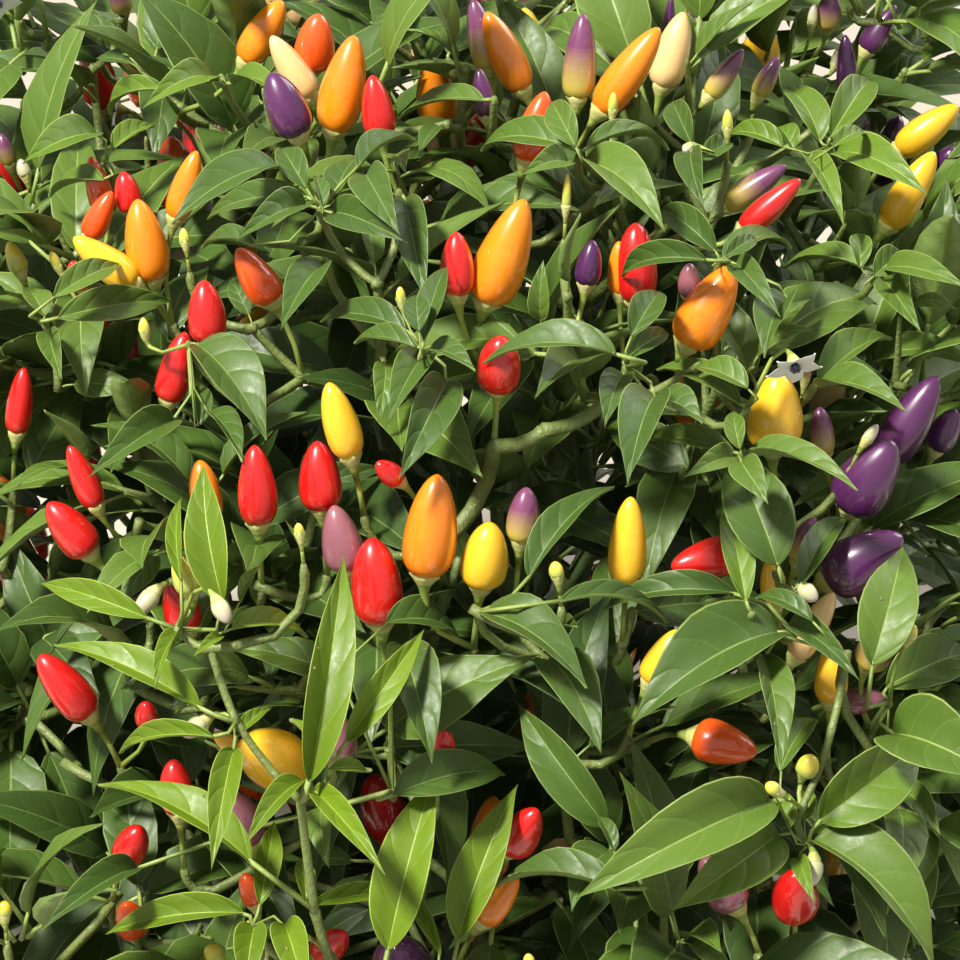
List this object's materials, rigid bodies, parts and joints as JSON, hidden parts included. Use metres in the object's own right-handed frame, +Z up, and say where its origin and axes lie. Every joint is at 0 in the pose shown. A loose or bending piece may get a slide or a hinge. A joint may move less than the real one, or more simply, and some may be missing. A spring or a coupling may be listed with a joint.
{
  "type": "ornamental chilli pepper plant",
  "caption": "Bushy ornamental chilli pepper plant with glossy upright fruit in several colours, rooted in the ground.",
  "frame": {"origin": "middle of the flat cut under the main stem, at ground level", "axes": "+Z up, along the foot of the main stem; -Y towards the side that the picture shows"},
  "size_m": [0.5282, 0.5538, 0.4734],
  "materials": {
    "old_bark": "dull, finely ridged, corky at the foot",
    "green_bark": "satin green, purple at the nodes",
    "foliage": "satin leaves on green twigs",
    "leaf": "satin dark green blade",
    "fresh_leaf": "satin yellow-green blade of a new shoot",
    "leaf_underside": "matte pale green",
    "leaf_vein": "matte pale green rib and margin",
    "fruit_purple": "glossy waxy skin",
    "fruit_mauve": "glossy waxy skin",
    "fruit_cream": "glossy waxy skin",
    "fruit_yellow": "glossy waxy skin",
    "fruit_orange": "glossy waxy skin",
    "fruit_scarlet": "glossy waxy skin",
    "fruit_red": "glossy waxy skin",
    "fruit_green": "glossy waxy skin",
    "fruit_stalk": "satin green calyx and stalk",
    "petal": "matte white",
    "bud": "matte, white flushed with purple",
    "anther": "matte blue-grey"
  },
  "bodies": {
    "root": {"main_stem": "old_bark", "bough_1": "green_bark", "bough_2": "green_bark", "bough_1_1": "green_bark", "bough_1_2": "green_bark", "bough_2_1": "green_bark", "bough_2_2": "green_bark", "branch_1_1_1": "green_bark", "branch_1_1_2": "green_bark", "branch_1_2_1": "green_bark", "branch_1_2_2": "green_bark", "branch_2_1_1": "green_bark", "branch_2_1_2": "green_bark", "branch_2_2_1": "green_bark", "branch_2_2_2": "green_bark", "branch_1_1_1_1": "green_bark", "branch_1_1_1_2": "green_bark", "branch_1_1_2_1": "green_bark", "branch_1_1_2_2": "green_bark", "branch_1_2_1_1": "green_bark", "branch_1_2_1_2": "green_bark", "branch_1_2_2_1": "green_bark", "branch_1_2_2_2": "green_bark", "branch_2_1_1_1": "green_bark", "branch_2_1_1_2": "green_bark", "branch_2_1_2_1": "green_bark", "branch_2_1_2_2": "green_bark", "branch_2_2_1_1": "green_bark", "branch_2_2_1_2": "green_bark", "branch_2_2_2_1": "green_bark", "branch_2_2_2_2": "green_bark", "foliage_1": "foliage", "foliage_2": "foliage", "foliage_3": "foliage", "foliage_4": "foliage", "foliage_5": "foliage", "foliage_6": "foliage", "foliage_7": "foliage", "foliage_8": "foliage", "foliage_9": "foliage", "foliage_10": "foliage", "foliage_11": "foliage", "foliage_12": "foliage", "foliage_13": "foliage", "foliage_14": "foliage", "foliage_15": "foliage", "foliage_16": "foliage", "low_foliage_1": "foliage", "low_foliage_2": "foliage", "low_foliage_3": "foliage", "low_foliage_4": "foliage", "low_foliage_5": "foliage"}
  },
  "joints": []
}
